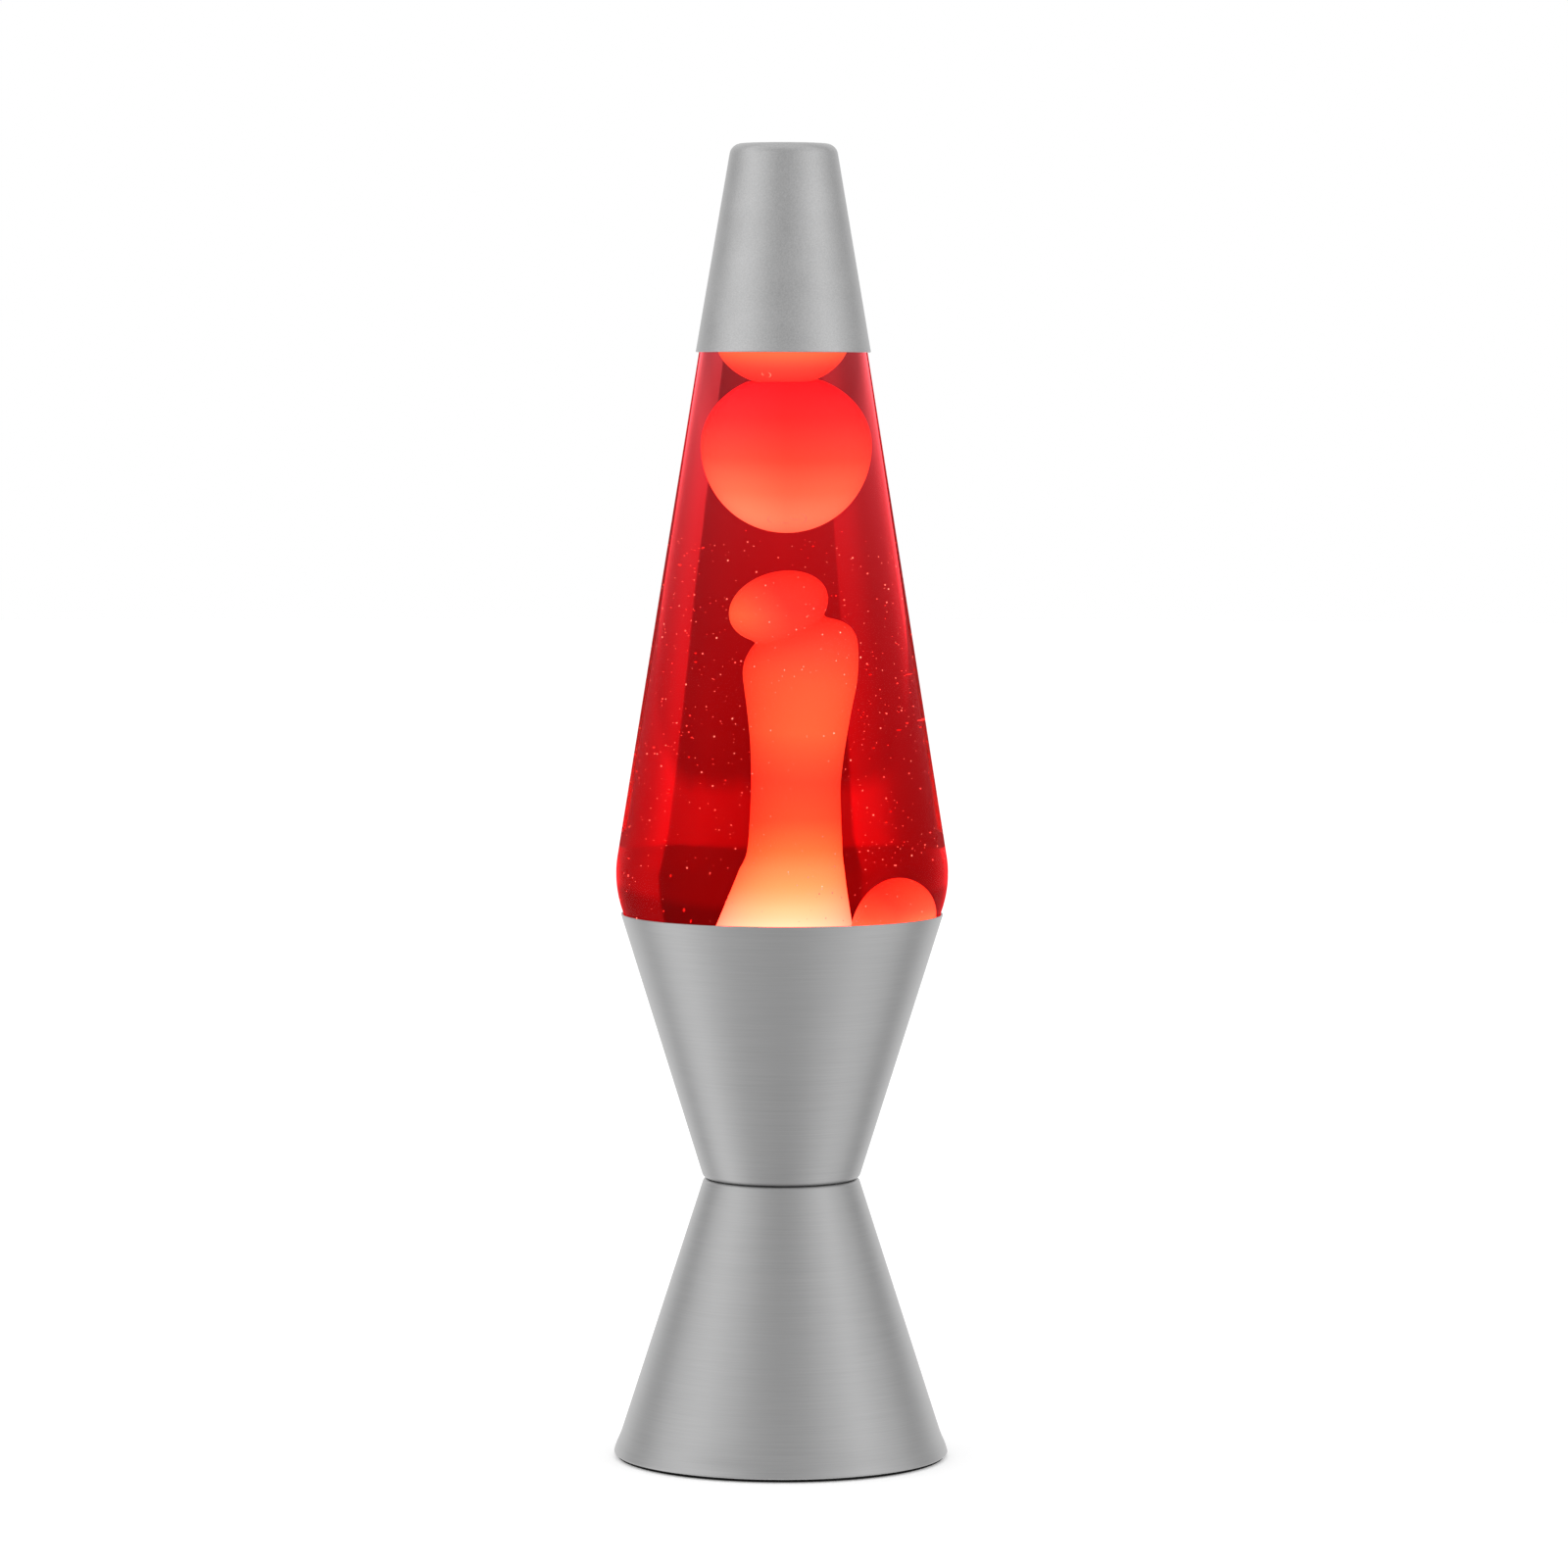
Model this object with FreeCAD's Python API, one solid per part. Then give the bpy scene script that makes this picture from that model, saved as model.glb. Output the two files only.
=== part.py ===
import FreeCAD, Part
import math, os

# Cone-shaped lava lamp standing on its base, origin at the centre of the foot,
# +Z up the axis, the cord entry at the back (+Y). Millimetres throughout.

os.makedirs("parts", exist_ok=True)
Vec = FreeCAD.Vector
UP = Vec(0, 0, 1)
ORG = Vec(0, 0, 0)

# ---------------------------------------------------------------- driving sizes
H_TOTAL = 368.0          # floor to the top of the cap
Z_SEAM = 78.5            # waist, where the two base cones meet
Z_RIM = 153.1            # rim of the upper cone
SKIN = 0.55              # spun aluminium thickness of the two base cones

UP_R_RIM = 45.18         # upper cone, outer radius at the rim
UP_SLOPE = 0.3131        # radius lost per mm going down
LO_R_REF, LO_Z_REF = 24.15, 71.2
LO_SLOPE = 0.3215        # radius gained per mm going down
R_THROAT = 13.2          # hole through both cones for the socket
CORD_Z = 16.0            # height of the cord bushing
CORD_BORE_R = 3.1        # for a 6 mm cord

GLASS_WALL = 2.0
GLASS_Z_MAX = 164.5      # height of the widest ring of the globe
GLASS_R_MAX = 46.52
GLASS_SLOPE = 0.16066
GLASS_R_UPPER = 29.6     # shoulder radius above the widest ring
GLASS_R_LOWER = 32.0     # and below it
GLASS_BOTTOM = 128.0
GLASS_FLOOR = 131.0
GLASS_SHOULDER = 322.0   # where the cone turns in to the neck
GLASS_MOUTH = 342.0
LIQUID_TOP = 329.0

CAP_Z = 310.0
CAP_SLOPE = 0.17
CAP_R_REF, CAP_Z_REF = 15.78, 361.09
CAP_SKIN = 0.6

PITCH = 2.822            # lamp base thread, 9 turns to the inch
BULB_R = 17.5
BULB_TIP = 60.8
BULB_TOP = 117.8


# ---------------------------------------------------------------- helpers
def pt(r, z):
    return Vec(r, 0, z)


def seg(a, b):
    return Part.makeLine(pt(*a), pt(*b))


def arc(a, m, b):
    return Part.Arc(pt(*a), pt(*m), pt(*b)).toShape()


def centre_arc(c, rad, a0, a1):
    """Arc about c from angle a0 to a1 (degrees, 0 = outward, 90 = up)."""
    def p(a):
        t = math.radians(a)
        return (c[0] + rad * math.cos(t), c[1] + rad * math.sin(t))
    return arc(p(a0), p((a0 + a1) / 2), p(a1)), p(a0), p(a1)


def spline(pts, t0=None, t1=None):
    c = Part.BSplineCurve()
    if t0 and t1:
        c.interpolate(Points=[pt(*p) for p in pts],
                      InitialTangent=pt(*t0), FinalTangent=pt(*t1))
    else:
        c.interpolate(Points=[pt(*p) for p in pts])
    return c.toShape()


def turn(edges):
    """Solid of revolution about Z from closed profile edges."""
    w = Part.Wire(Part.__sortEdges__(edges))
    s = Part.Face(w).revolve(ORG, UP, 360)
    return s if s.ShapeType == "Solid" else Part.Solid(s.Shells[0])


def corner_edges(pts):
    """Edges of a closed polygon; a third number on a point rounds that corner."""
    n = len(pts)
    heads = []
    for i in range(n):
        p = Vec(pts[i][0], 0, pts[i][1])
        rad = pts[i][2] if len(pts[i]) > 2 else 0
        if not rad:
            heads.append((p, None, p))
            continue
        a = Vec(pts[i - 1][0], 0, pts[i - 1][1]) - p
        b = Vec(pts[(i + 1) % n][0], 0, pts[(i + 1) % n][1]) - p
        a.normalize()
        b.normalize()
        half = a.getAngle(b) / 2
        t = rad / math.tan(half)
        bis = a + b
        bis.normalize()
        c = p + bis * (rad / math.sin(half))
        heads.append((p + a * t, c - bis * rad, p + b * t))
    out = []
    for i in range(n):
        s, m, e = heads[i]
        if m is not None:
            out.append(Part.Arc(s, m, e).toShape())
        q = heads[(i + 1) % n][0]
        if (q - e).Length > 1e-6:
            out.append(Part.makeLine(e, q))
    return out


def lathe(pts):
    return turn(corner_edges(pts))


def ring(r0, r1, z0, z1):
    return lathe([(r0, z0), (r1, z0), (r1, z1), (r0, z1)])


def ovoid(c, r, down, up):
    """Round body about a vertical axis through c: radius r, different half heights."""
    def quarter(h):
        q = Part.BSplineCurve()
        q.buildFromPolesMultsKnots([pt(r, 0), pt(r, h), pt(0, h)], [3, 3], [0, 1], False, 2,
                                   [1, math.sqrt(0.5), 1])
        return q.toShape()
    s = turn([quarter(-down), quarter(up), seg((0, up), (0, -down))])
    s.translate(Vec(*c))
    return s


def rod(a, b, r):
    a, b = Vec(*a), Vec(*b)
    return Part.makeCylinder(r, (b - a).Length, a, b - a)


def save(name, shape, group=False):
    if not shape.isValid():
        print("INVALID", name)
    solids = shape.Solids
    if len(solids) != 1 and not group:
        print("NOTE", name, "has", len(solids), "solids")
    if not group and len(solids) == 1:
        shape = solids[0]
    shape.exportStep("parts/%s.step" % name)
    b = shape.BoundBox
    print("%-20s vol %10.1f  z %7.2f..%7.2f  r %6.2f" % (name, shape.Volume, b.ZMin, b.ZMax, b.XMax))


# ---------------------------------------------------------------- base: upper cone
def up_r(z):
    return UP_R_RIM - UP_SLOPE * (Z_RIM - z)


up_n = SKIN * math.hypot(1, UP_SLOPE)          # radial thickness of the slanted wall
z_floor = Z_SEAM + SKIN
upper_cone = lathe([
    (R_THROAT, Z_SEAM), (up_r(Z_SEAM), Z_SEAM, 2.0), (UP_R_RIM, Z_RIM, 0.2),
    (UP_R_RIM - up_n, Z_RIM, 0.2), (up_r(z_floor) - up_n, z_floor, 1.45), (R_THROAT, z_floor),
])

# ---------------------------------------------------------------- base: lower cone
def lo_r(z):
    return LO_R_REF + LO_SLOPE * (LO_Z_REF - z)


lo_n = SKIN * math.hypot(1, LO_SLOPE)
z_plate = Z_SEAM - SKIN
top_edges = corner_edges([
    (R_THROAT, Z_SEAM), (lo_r(Z_SEAM), Z_SEAM, 1.2), (lo_r(6.73), 6.73),
    (lo_r(6.56) - lo_n, 6.56), (lo_r(z_plate) - lo_n, z_plate, 0.65), (R_THROAT, z_plate),
])
# the straight closing edge between the two foot points gives way to the flared foot
top_edges = [e for e in top_edges
             if not (e.BoundBox.ZMax < 7.0)]
foot_out = spline([(lo_r(6.73), 6.73), (45.58, 5.06), (46.08, 3.94), (46.51, 2.83), (46.86, 1.71), (46.95, 1.4)],
                  (LO_SLOPE, -1), (0.0, -1))
hem = [arc((46.95, 1.4), (46.774, 0.976), (46.35, 0.8)), seg((46.35, 0.8), (43.6, 0.8)),
       seg((43.6, 0.8), (43.6, 1.4)), seg((43.6, 1.4), (46.0, 1.4))]
foot_in = spline([(46.0, 1.4), (46.22, 2.05), (45.93, 2.75), (45.53, 3.78), (45.03, 4.92), (lo_r(6.56) - lo_n, 6.56)])
lower_cone = turn(top_edges + [foot_out] + hem + [foot_in])

# cord bushing set square to the cone wall at the back
tilt = math.degrees(math.atan(LO_SLOPE))
p_cord = Vec(0, lo_r(CORD_Z), CORD_Z)
n_cord = Vec(0, math.cos(math.radians(tilt)), math.sin(math.radians(tilt)))


def on_cord(r, a, b):
    return Part.makeCylinder(r, b - a, p_cord + n_cord * a, n_cord)


lower_cone = lower_cone.cut(on_cord(5.1, -4, 4))
outside = lathe([(0, 0), (lo_r(0), 0), (lo_r(60), 60), (0, 60)])
inside = lathe([(0, 0), (lo_r(0) - lo_n, 0), (lo_r(60) - lo_n, 60), (0, 60)])
flange_out = on_cord(7.0, -2.0, 1.7).cut(outside)
edge = [e for e in flange_out.Edges if abs(e.Length - 2 * math.pi * 7.0) < 0.3
        and (e.CenterOfMass - p_cord).dot(n_cord) > 1.0]
flange_out = flange_out.makeFillet(0.7, edge) if edge else flange_out
flange_in = on_cord(6.6, -2.3, 1.0).common(inside)
cord_bushing = on_cord(5.0, -1.5, 1.0).fuse([flange_out, flange_in])
cord_bushing = cord_bushing.cut(on_cord(CORD_BORE_R, -6, 6)).removeSplitter()

# ---------------------------------------------------------------- base: foot ring and cover
foot_ring = lathe([
    (41.0, 0, 0.3), (46.1, 0, 0.35), (46.1, 0.8), (43.5, 0.8), (43.5, 1.5), (44.6, 1.5), (44.6, 2.5, 0.4),
    (43.2, 3.4), (41.0, 3.4), (41.0, 2.8), (42.2, 2.8), (42.2, 1.0), (41.0, 1.0),
])
bottom_cover = ring(0, 42.15, 1.0, 2.8).fuse([ring(36.0, 37.2, 2.8, 4.4), ring(12.0, 13.2, 2.8, 4.4)])
for k in range(8):
    a = math.radians(45 * k + 22.5)
    u = Vec(math.cos(a), math.sin(a), 0)
    slot = rod(u * 19 + Vec(0, 0, 0), u * 19 + Vec(0, 0, 6), 1.3).fuse(
        [rod(u * 32, u * 32 + Vec(0, 0, 6), 1.3)])
    bar = Part.makeBox(13, 2.6, 6, Vec(19, -1.3, 0))
    bar.rotate(ORG, UP, 45 * k + 22.5)
    bottom_cover = bottom_cover.cut(slot.fuse(bar))
bottom_cover = bottom_cover.removeSplitter()

# ---------------------------------------------------------------- socket through the waist
socket_housing = lathe([
    (0, 54.5), (13.0, 54.5, 0.6), (13.0, 79.35), (17.4, 79.35, 0.3), (17.4, 81.6, 0.8),
    (12.2, 81.6), (12.2, 84.0, 0.5), (9.5, 84.0, 0.3), (9.5, 62.6), (7.6, 62.6), (7.6, 58.5), (0, 58.5),
])
SCREWS = [(9.2, 0), (-9.2, 0)]
RIVET = (-4.2, 0)
for x, y in SCREWS:
    socket_housing = socket_housing.cut(rod((x, y, 54), (x, y, 57.4), 1.4))
socket_housing = socket_housing.cut(rod((RIVET[0], 0, 54), (RIVET[0], 0, 60), 0.9))

fibre_washer = ring(13.15, 17.6, z_floor, 79.35)
lock_washer = ring(13.1, 16.6, 77.2, z_plate)
teeth = []
for k in range(12):
    b = Part.makeBox(2.0, 1.6, 2, Vec(15.4, -0.8, 76.5))
    b.rotate(ORG, UP, 30 * k)
    teeth.append(b)
lock_washer = lock_washer.cut(Part.makeCompound(teeth))
ring_nut = Part.Face(Part.Wire(Part.makePolygon(
    [Vec(18.6 * math.cos(math.radians(60 * k)), 18.6 * math.sin(math.radians(60 * k)), 74.6) for k in range(7)]
))).extrude(Vec(0, 0, 2.6)).cut(rod((0, 0, 74), (0, 0, 78), 13.05))
ring_nut = ring_nut.common(lathe([(0, 74.6), (17.2, 74.6), (18.8, 75.4), (18.8, 76.4), (17.2, 77.2), (0, 77.2)]))


def waved(z0, z1, crest, valley, wall, first_crest=True):
    """Rolled thread drawn as rings: out and in by half a pitch."""
    n = int((z1 - z0) / (PITCH / 2))
    outer = [((crest if (k % 2 == 0) == first_crest else valley), z0 + k * PITCH / 2) for k in range(n + 1)]
    if z1 - outer[-1][1] > 0.2:
        outer.append((crest, z1))
    inner = [(r - wall, z) for r, z in outer]
    return outer, inner


out_w, in_w = waved(62.9, 83.6, 9.42, 9.02, 0.3)
socket_shell = lathe([(6.4, 62.65), (9.42, 62.65)] + out_w + in_w[::-1] + [(6.4, 62.95)])

contact_profile = [(-5.8, 58.5), (-2.4, 58.5), (-1.3, 60.3), (2.2, 60.3), (3.2, 58.9), (3.5, 59.15), (2.4, 60.7),
                   (-1.5, 60.7), (-2.65, 58.9), (-5.8, 58.9)]
w = Part.makePolygon([Vec(x, -2.0, z) for x, z in contact_profile + contact_profile[:1]])
centre_contact = Part.Face(Part.Wire(w)).extrude(Vec(0, 4.0, 0)).cut(rod((RIVET[0], 0, 58), (RIVET[0], 0, 60), 0.9))
contact_rivet = rod((RIVET[0], 0, 54.0), (RIVET[0], 0, 59.2), 0.9).fuse(
    [ring(0, 1.6, 58.9, 59.35).translated(Vec(RIVET[0], 0, 0)), ring(0, 1.7, 53.9, 54.5).translated(Vec(RIVET[0], 0, 0))])
screws = []
for x, y in SCREWS:
    s = lathe([(0, 52.6), (2.4, 52.6, 0.5), (2.7, 54.5), (1.4, 54.5), (1.4, 57.2), (0, 57.2)])
    s = s.cut(Part.makeBox(6, 0.7, 0.8, Vec(-3, -0.35, 52.4)))
    screws.append(s.translated(Vec(x, y, 0)))
terminal_screws = Part.makeCompound(screws)

# ---------------------------------------------------------------- bulb
bulb_tip = lathe([(0, BULB_TIP), (2.4, BULB_TIP, 0.9), (2.9, 62.0), (0, 62.0)])
bulb_insulator = lathe([(0, 62.0), (3.3, 62.0), (6.9, 64.1, 0.3), (6.9, 65.4), (0, 65.4)])
out_b, in_b = waved(65.0, 81.0, 8.3, 7.95, 0.3, first_crest=False)
bulb_screw_shell = lathe([(7.05, 64.3), (7.4, 64.3)] + out_b + in_b[::-1])
z_eq = BULB_TOP - BULB_R
neck = [(7.25, 81.4), (8.15, 82.6), (8.5, 84.2), (10.2, 87.3), (12.9, 90.8), (15.5, 94.6), (17.0, 97.9), (BULB_R, z_eq)]
neck_in = [(6.65, 81.6), (7.55, 82.9), (7.95, 84.5), (9.7, 87.6), (12.45, 91.2), (14.95, 94.9), (16.4, 98.0), (BULB_R - 0.6, z_eq)]
dome, _, _ = centre_arc((0, z_eq), BULB_R, 0, 90)
dome_in, _, _ = centre_arc((0, z_eq), BULB_R - 0.6, 90, 0)
bulb_glass = turn([
    seg((7.25, 76.0), (7.25, 81.4)), spline(neck, (0, 1), (0, 1)), dome,
    seg((0, BULB_TOP), (0, BULB_TOP - 0.6)), dome_in, spline(neck_in[::-1], (0, -1), (0, -1)),
    seg((6.65, 81.6), (6.65, 76.0)), seg((6.65, 76.0), (7.25, 76.0)),
])
bulb_stem = lathe([(0, 76.4), (6.5, 76.4), (6.5, 77.0), (3.2, 79.6, 1.0), (2.1, 84.0, 3.0), (1.9, 91.8, 0.9), (0, 92.6)])
wires = [rod((0.9 * s, 0, 90.5), (6.6 * s, 0, 101.0), 0.28) for s in (1, -1)]
hooks = [rod((0.5 * s, 0, 91.0), (2.3 * s, 0, 103.4), 0.14) for s in (1, -1)]
bulb_leads = Part.makeCompound([x.cut(bulb_stem) for x in wires + hooks])
fil = Part.BSplineCurve()
fil.interpolate(Points=[Vec(-6.6, 0, 101.0), Vec(-2.4, 0, 103.6), Vec(2.4, 0, 103.6), Vec(6.6, 0, 101.0)])
fil_wire = Part.Wire(fil.toShape())
filament = fil_wire.makePipeShell([Part.Wire(Part.makeCircle(0.34, fil.value(0), fil.tangent(0)[0]))], True, False)
filament = filament.cut(bulb_leads)
bulb_leads_ok = bulb_leads


# ---------------------------------------------------------------- globe
def glass_r(z):
    return 45.55 - GLASS_SLOPE * (z - 172.9)


beta = math.degrees(math.atan(GLASS_SLOPE))


def globe_profile(inset, z_low, z_corner, corner_r, z_high, neck_r, z_top):
    """Half outline from the bottom centre up to (neck_r, z_top); inset 0 is the outside."""
    c_up = (GLASS_R_MAX - GLASS_R_UPPER, GLASS_Z_MAX)
    c_lo = (GLASS_R_MAX - GLASS_R_LOWER, GLASS_Z_MAX)
    up_arc, a0, a1 = centre_arc(c_up, GLASS_R_UPPER - inset, 0, beta)
    lo_end = -24.5
    lo_arc, b0, b1 = centre_arc(c_lo, GLASS_R_LOWER - inset, lo_end, 0)
    z_b = b0[1]
    # below the arc the wall runs straight down inside the cup, then turns under
    r_low = b0[0] - 0.33 * (z_b - z_low)
    n_line = inset * math.hypot(1, GLASS_SLOPE)
    cone_top = (glass_r(z_high) - n_line, z_high)
    lower = corner_edges([(0, z_low), (r_low, z_low, corner_r), b0, (0, b0[1])])
    lower = [e for e in lower if not (abs(e.BoundBox.ZMin - b0[1]) < 1e-4 and e.BoundBox.XMin < 1)
             and not (e.BoundBox.XMax < 1e-6)]
    sh = corner_edges([cone_top, (neck_r + 1.2, z_high + 11.5, 5.5 - inset * 0.6), (neck_r, z_high + 14.0, 2.0), (neck_r, z_top), (0, z_top), (0, z_high)])
    sh = [e for e in sh if not (e.BoundBox.XMax < 1e-6) and not (abs(e.BoundBox.ZMax - z_high) < 1e-4 and abs(e.BoundBox.ZMin - z_high) < 1e-4)
          and not (abs(e.BoundBox.ZMin - z_top) < 1e-4)]
    return lower + [lo_arc, up_arc, seg(a1, cone_top)] + sh


def body_of(edges, z0, z1, r1):
    return turn(edges + [seg((r1, z1), (0, z1)), seg((0, z1), (0, z0))])


outer_edges = globe_profile(0, GLASS_BOTTOM, None, 7.0, GLASS_SHOULDER, 12.7, GLASS_MOUTH)
inner_edges = globe_profile(GLASS_WALL, GLASS_FLOOR, None, 5.0, GLASS_SHOULDER, 10.2, GLASS_MOUTH)
globe_outer = body_of(outer_edges, GLASS_BOTTOM, GLASS_MOUTH, 12.7)
cavity = body_of(inner_edges, GLASS_FLOOR, GLASS_MOUTH, 10.2)
bead = lathe([(11.5, 338.2), (13.3, 338.6, 0.6), (13.3, 341.4, 1.2), (12.0, 342.0), (11.5, 342.0)])
globe_glass = globe_outer.fuse(bead).cut(cavity).removeSplitter()

# ---------------------------------------------------------------- crown cork
crown_liner = ring(0, 12.6, GLASS_MOUTH, GLASS_MOUTH + 0.8)


def flute(z, r_mid, depth, count=21):
    """Zigzag ring: one crest and one valley to a flute."""
    n = count * 2
    pts = []
    for k in range(n + 1):
        r = r_mid + (depth if k % 2 == 0 else -depth)
        a = 2 * math.pi * (k % n) / n
        pts.append(Vec(r * math.cos(a), r * math.sin(a), z))
    return Part.makePolygon(pts)


crown_cap = Part.makeLoft([flute(337.4, 15.55, 0.5), flute(339.8, 14.8, 0.25), flute(342.0, 14.1, 0.0),
                           flute(GLASS_MOUTH + 1.15, 13.2, 0.0)], True, True)
crown_cap = crown_cap.cut(Part.makeLoft([flute(337.2, 15.3, 0.5), flute(339.8, 14.45, 0.25), flute(342.0, 13.75, 0.0),
                                         flute(GLASS_MOUTH + 0.8, 13.0, 0.0)], True, True))

# ---------------------------------------------------------------- cap
def cap_r(z):
    return CAP_R_REF + CAP_SLOPE * (CAP_Z_REF - z)


cap_n = CAP_SKIN * math.hypot(1, CAP_SLOPE)
z_in = H_TOTAL - CAP_SKIN - 0.1
cap_shell = lathe([
    (0, H_TOTAL), (cap_r(H_TOTAL), H_TOTAL, 3.4), (cap_r(CAP_Z), CAP_Z, 0.15), (cap_r(CAP_Z) - cap_n, CAP_Z, 0.15),
    (cap_r(z_in) - cap_n, z_in, 2.8), (0, z_in),
])

# ---------------------------------------------------------------- heating coil resting on the glass floor
R_COIL, R_TURN, R_WIRE, TURNS, Z_COIL = 24.0, 2.7, 0.45, 34, GLASS_FLOOR + 3.4
pts = []
n = TURNS * 12
for k in range(n + 1):
    a = math.radians(8 + 344.0 * k / n)
    b = 2 * math.pi * TURNS * k / n
    rr = R_COIL + R_TURN * math.cos(b)
    pts.append(Vec(rr * math.cos(a), rr * math.sin(a), Z_COIL + R_TURN * math.sin(b)))
cc = Part.BSplineCurve()
cc.interpolate(Points=pts)
cw = Part.Wire(cc.toShape())
wire_coil = cw.makePipeShell([Part.Wire(Part.makeCircle(R_WIRE, cc.value(0), cc.tangent(0)[0]))], True, False)
coil_room = Part.makeTorus(R_COIL, R_TURN + R_WIRE + 0.15, Vec(0, 0, Z_COIL))

# ---------------------------------------------------------------- wax and liquid
# sections of the rising column: height, axis offset to the right, radius
COLUMN = [(140.0, 0.0, 37.0), (141.6, 0.0, 31.0), (144.0, 0.0, 23.5), (147.2, 0.05, 18.0), (150.6, 0.1, 14.95), (155.3, 0.8, 13.4),
          (162.2, 1.7, 11.5), (167.8, 2.6, 10.0), (172.6, 2.85, 9.6), (183.4, 2.92, 9.3), (190.2, 2.95, 9.3),
          (200.8, 3.37, 10.0), (210.0, 3.6, 11.0), (218.0, 3.8, 12.0), (224.5, 3.82, 12.2), (229.5, 3.9, 11.5),
          (233.2, 4.1, 9.2), (235.6, 4.2, 6.0), (236.7, 4.2, 2.5)]
column = Part.makeLoft([Part.Wire(Part.makeCircle(r, Vec(x, 0, z), UP)) for z, x, r in COLUMN], True, False)
pool = ring(0, 44.0, GLASS_FLOOR - 1, 140.0)
lump = ovoid((-0.6, -3.0, 239.3), 10.6, 9.8, 9.8)
mound = ovoid((25.2, 0, 152.5), 10.2, 14.0, 10.75)
wax_column = column.fuse([pool, lump, mound]).common(cavity).cut(coil_room)
wax_top_blob = ovoid((0, 0, 315.0), 13.9, 13.6, 13.0)
BALL = (0.85, 0, 283.6)
wax_ball = ovoid(BALL, 17.6, 23.9, 20.6).cut(ovoid((0, 0, 315.0), 14.3, 14.0, 13.0))
ball_room = ovoid(BALL, 17.9, 24.2, 20.9).cut(wax_top_blob)
liquid = cavity.common(ring(0, 60, 100, LIQUID_TOP)).cut(wax_column).cut(wax_top_blob).cut(ball_room).cut(coil_room)

# ---------------------------------------------------------------- files
save("upper_cone", upper_cone)
save("lower_cone", lower_cone)
save("cord_bushing", cord_bushing)
save("foot_ring", foot_ring)
save("bottom_cover", bottom_cover)
save("socket_housing", socket_housing)
save("fibre_washer", fibre_washer)
save("lock_washer", lock_washer)
save("ring_nut", ring_nut)
save("socket_shell", socket_shell)
save("centre_contact", centre_contact)
save("contact_rivet", contact_rivet)
save("terminal_screws", terminal_screws, True)
save("bulb_tip", bulb_tip)
save("bulb_insulator", bulb_insulator)
save("bulb_screw_shell", bulb_screw_shell)
save("bulb_glass", bulb_glass)
save("bulb_stem", bulb_stem)
save("bulb_leads", bulb_leads_ok, True)
save("filament", filament)
save("globe_glass", globe_glass)
save("crown_liner", crown_liner)
save("crown_cap", crown_cap)
save("cap_shell", cap_shell)
save("wire_coil", wire_coil)
save("wax_column", wax_column)
save("wax_top_blob", wax_top_blob)
save("wax_ball", wax_ball)
save("liquid", liquid)
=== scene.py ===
"""Cone-shaped lava lamp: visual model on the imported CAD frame. Metres, +Z up, cord bushing at +Y."""
import bpy, bmesh
import math, random
from mathutils import Vector, Matrix, noise


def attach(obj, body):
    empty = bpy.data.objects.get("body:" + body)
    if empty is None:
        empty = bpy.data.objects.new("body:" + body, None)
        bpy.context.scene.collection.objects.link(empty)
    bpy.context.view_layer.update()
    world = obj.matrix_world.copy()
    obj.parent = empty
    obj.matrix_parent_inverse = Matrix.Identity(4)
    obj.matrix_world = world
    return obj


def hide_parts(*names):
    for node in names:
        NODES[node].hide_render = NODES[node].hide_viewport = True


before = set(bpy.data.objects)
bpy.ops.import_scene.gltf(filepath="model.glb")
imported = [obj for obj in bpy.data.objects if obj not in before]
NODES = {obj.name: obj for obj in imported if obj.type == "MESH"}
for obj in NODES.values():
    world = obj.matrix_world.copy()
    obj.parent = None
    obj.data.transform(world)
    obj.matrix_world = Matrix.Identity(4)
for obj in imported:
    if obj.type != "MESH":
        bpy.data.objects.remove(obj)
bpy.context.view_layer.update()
MM = 0.001


# ------------------------------------------------------------------ mesh helpers
def rounded(pts, steps=8):
    """Closed (r, z) polygon; a third number on a point rounds that corner."""
    n, out = len(pts), []
    for i in range(n):
        p = Vector((pts[i][0], pts[i][1]))
        rad = pts[i][2] if len(pts[i]) > 2 else 0
        if not rad:
            out.append((p.x, p.y))
            continue
        a = (Vector(pts[i - 1][:2]) - p).normalized()
        b = (Vector(pts[(i + 1) % n][:2]) - p).normalized()
        half = a.angle(b) / 2
        t = rad / math.tan(half)
        c = p + (a + b).normalized() * (rad / math.sin(half))
        s, e = p + a * t, p + b * t
        a0 = math.atan2(s.y - c.y, s.x - c.x)
        a1 = math.atan2(e.y - c.y, e.x - c.x)
        while a1 - a0 > math.pi:
            a1 -= 2 * math.pi
        while a0 - a1 > math.pi:
            a1 += 2 * math.pi
        for k in range(steps + 1):
            u = a0 + (a1 - a0) * k / steps
            out.append((c.x + rad * math.cos(u), c.y + rad * math.sin(u)))
    return out


def dense(pts, step):
    """Adds points so that no straight run of a profile is longer than step."""
    out = []
    for (r0, z0), (r1, z1) in zip(pts, pts[1:]):
        n = max(1, int(math.hypot(r1 - r0, z1 - z0) / step))
        out += [(r0 + (r1 - r0) * k / n, z0 + (z1 - z0) * k / n) for k in range(n)]
    return out + [pts[-1]]


def catmull(pts, n=8):
    """Smooth curve through points of any dimension."""
    out = []
    for i in range(len(pts) - 1):
        p0, p1 = pts[max(i - 1, 0)], pts[i]
        p2, p3 = pts[i + 1], pts[min(i + 2, len(pts) - 1)]
        for k in range(n):
            t = k / n
            out.append(tuple(0.5 * (2 * b + (c - a) * t + (2 * a - 5 * b + 4 * c - d) * t * t
                                    + (3 * b - a - 3 * c + d) * t ** 3) for a, b, c, d in zip(p0, p1, p2, p3)))
    return out + [tuple(pts[-1])]


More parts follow.
